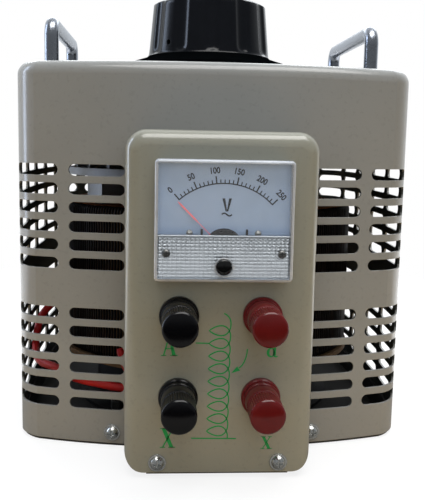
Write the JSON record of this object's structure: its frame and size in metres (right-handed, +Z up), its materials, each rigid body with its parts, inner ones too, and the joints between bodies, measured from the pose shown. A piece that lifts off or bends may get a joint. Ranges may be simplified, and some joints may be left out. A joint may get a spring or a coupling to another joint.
{
  "type": "variable transformer",
  "caption": "Bench variable transformer in a slotted steel casing, with a large turning knob, carrying handles, a panel meter and binding posts",
  "frame": {"origin": "On the shaft axis at the underside of the base plate", "axes": "+X to the right seen from the front, +Y to the back, +Z up; the meter and posts face -Y"},
  "size_m": [0.219, 0.2845, 0.2516],
  "materials": {
    "casing_paint": "semi-gloss taupe enamel",
    "panel_paint": "glossy olive-cream enamel",
    "base_grey": "grey painted sheet steel",
    "zinc": "bright zinc-plated steel",
    "dark_steel": "black painted steel",
    "board": "pressed insulating board",
    "core_steel": "wound electrical steel strip",
    "enamelled_copper": null,
    "phenolic": "brown phenolic laminate",
    "brass": "plain brass",
    "chrome": "bright chrome plate",
    "black_plastic": "black moulded phenolic",
    "red_plastic": "dark red moulded phenolic",
    "dial_white": "white printed dial",
    "silver_mask": "silver embossed foil on plastic",
    "clear_cover": "clear acrylic",
    "red_lead": "red insulated wire",
    "black_lead": "black insulated wire",
    "aluminium": "die-cast aluminium",
    "carbon": "pressed carbon",
    "pointer_red": "red painted aluminium"
  },
  "bodies": {
    "case": {"base_plate": "base_grey", "casing": "casing_paint", "front_panel": "panel_paint", "casing_screws": "zinc", "panel_screws": "zinc", "screw_washers": "zinc", "core_stand": "dark_steel", "stand_nuts": "zinc", "lower_pad": "board", "core": "core_steel", "core_insulation": "board", "winding": "enamelled_copper", "clamp_plate": "phenolic", "clamp_rods": "zinc", "clamp_nuts": "zinc", "upper_bush": "brass", "lower_bush": "brass", "travel_stop": "dark_steel", "collector_blade": "brass", "handle_left": "chrome", "handle_right": "chrome", "handle_nuts": "zinc", "meter_body": "black_plastic", "meter_movement": "black_plastic", "scale_plate": "dial_white", "meter_mask": "silver_mask", "meter_cover": "clear_cover", "meter_cover_screws": "dark_steel", "meter_studs": "brass", "meter_nuts": "brass", "post_bases_black": "black_plastic", "post_bases_red": "red_plastic", "post_studs": "brass", "post_insulators": "black_plastic", "post_nuts": "brass", "post_lugs": "brass", "power_leads": "red_lead", "meter_leads": "black_lead"},
    "rotor": {"shaft": "zinc", "shaft_collar": "zinc", "rotor_hub": "aluminium", "brush_arm": "aluminium", "arm_screws": "zinc", "brush_holder": "aluminium", "brush_spring": "zinc", "knob": "black_plastic", "knob_set_screw": "zinc"},
    "brush": {"brush": "carbon"},
    "pointer": {"pointer": "pointer_red"},
    "zero_screw": {"zero_screw": "black_plastic"},
    "insert_upper_left": {"insert_upper_left": "brass"},
    "cap_upper_left": {"cap_upper_left": "black_plastic"},
    "insert_lower_left": {"insert_lower_left": "brass"},
    "cap_lower_left": {"cap_lower_left": "black_plastic"},
    "insert_upper_right": {"insert_upper_right": "brass"},
    "cap_upper_right": {"cap_upper_right": "red_plastic"},
    "insert_lower_right": {"insert_lower_right": "brass"},
    "cap_lower_right": {"cap_lower_right": "red_plastic"}
  },
  "joints": [
    {"name": "knob_turn", "type": "hinge", "parent": "case", "child": "rotor", "pos_m": [0, 0, 0.2], "axis": [0, 0, -1], "range_deg": [-30, 290]},
    {"name": "brush_lift", "type": "slide", "parent": "rotor", "child": "brush", "axis": [0, 0, 1], "range_m": [0, 0.002], "stiffness_N_per_m": 500, "springref_m": -0.004, "deforming": ["brush_spring"]},
    {"name": "pointer_swing", "type": "hinge", "parent": "case", "child": "pointer", "pos_m": [0, -0.1375, 0.1142], "axis": [0, 1, 0], "range_deg": [0, 90], "stiffness_Nm_per_rad": 0.0001, "springref_deg": -11.46},
    {"name": "zero_adjust", "type": "hinge", "parent": "case", "child": "zero_screw", "pos_m": [0, -0.134, 0.1061], "axis": [0, -1, 0], "range_deg": [-40, 40]},
    {"name": "insert_upper_left_travel", "type": "slide", "parent": "case", "child": "insert_upper_left", "axis": [0, -1, 0], "range_m": [0, 0.006]},
    {"name": "cap_upper_left_turn", "type": "hinge", "parent": "insert_upper_left", "child": "cap_upper_left", "pos_m": [-0.02, -0.145, 0.0808], "axis": [0, -1, 0], "range_deg": [0, 2160.5]},
    {"name": "insert_lower_left_travel", "type": "slide", "parent": "case", "child": "insert_lower_left", "axis": [0, -1, 0], "range_m": [0, 0.006]},
    {"name": "cap_lower_left_turn", "type": "hinge", "parent": "insert_lower_left", "child": "cap_lower_left", "pos_m": [-0.02, -0.145, 0.0408], "axis": [0, -1, 0], "range_deg": [0, 2160.5]},
    {"name": "insert_upper_right_travel", "type": "slide", "parent": "case", "child": "insert_upper_right", "axis": [0, -1, 0], "range_m": [0, 0.006]},
    {"name": "cap_upper_right_turn", "type": "hinge", "parent": "insert_upper_right", "child": "cap_upper_right", "pos_m": [0.02, -0.145, 0.0808], "axis": [0, -1, 0], "range_deg": [0, 2160.5]},
    {"name": "insert_lower_right_travel", "type": "slide", "parent": "case", "child": "insert_lower_right", "axis": [0, -1, 0], "range_m": [0, 0.006]},
    {"name": "cap_lower_right_turn", "type": "hinge", "parent": "insert_lower_right", "child": "cap_lower_right", "pos_m": [0.02, -0.145, 0.0408], "axis": [0, -1, 0], "range_deg": [0, 2160.5]}
  ],
  "couplings": [
    {"joint": "cap_upper_left_turn", "follows": "insert_upper_left_travel", "rad_per_m": 6283.2},
    {"joint": "cap_lower_left_turn", "follows": "insert_lower_left_travel", "rad_per_m": 6283.2},
    {"joint": "cap_upper_right_turn", "follows": "insert_upper_right_travel", "rad_per_m": 6283.2},
    {"joint": "cap_lower_right_turn", "follows": "insert_lower_right_travel", "rad_per_m": 6283.2}
  ]
}
